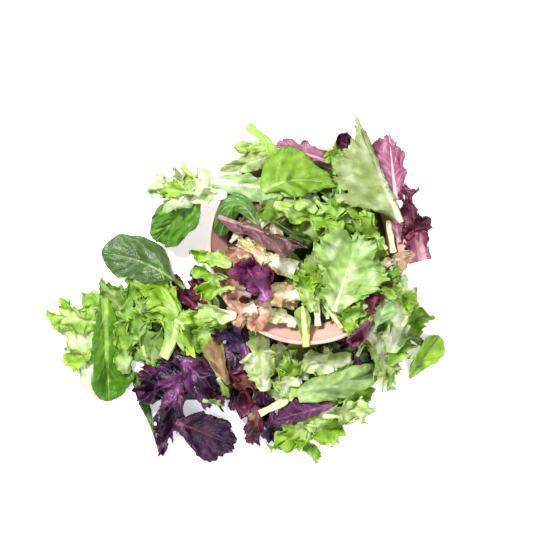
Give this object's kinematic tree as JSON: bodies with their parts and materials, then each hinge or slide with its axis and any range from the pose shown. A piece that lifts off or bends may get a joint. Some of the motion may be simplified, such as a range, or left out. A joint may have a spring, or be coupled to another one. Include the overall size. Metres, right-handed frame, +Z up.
{
  "type": "bowl of mixed salad leaves",
  "caption": "Turned wooden bowl heaped with mixed green and red salad leaves, with more leaves lying in a loose arc round it on the table.",
  "frame": {"origin": "middle of the bowl's foot, on the table", "axes": "+Z up; the bowl's foot and the loose leaves rest on the plane Z = 0; +X along the long side of the spread, away from the larger pile of loose leaves; +Y away from the loose leaves in front of the bowl"},
  "size_m": [0.3563, 0.3142, 0.0985],
  "materials": {
    "turned_wood": "turned hardwood, lightly oiled satin, pinkish brown",
    "green_leaf": "fresh green lettuce leaf, satin, paler at the ribs and frilled edge",
    "pale_leaf": "pale green frilled lettuce, satin, near-white ribs",
    "red_leaf": "dark red-purple lettuce leaf, satin",
    "mottled_leaf": "pale leaf mottled with magenta, near-white ribs",
    "spinach_leaf": "smooth mid-green spinach leaf with sunken veins, satin",
    "leaf_stalk": "pale cut stalk, moist satin",
    "shaded_tangle": "dark green tangle in shade between the leaves"
  },
  "bodies": {
    "root": {"wooden_bowl": "turned_wood", "salad_in_bowl": "green_leaf", "salad_round_bowl": "green_leaf"}
  },
  "joints": []
}
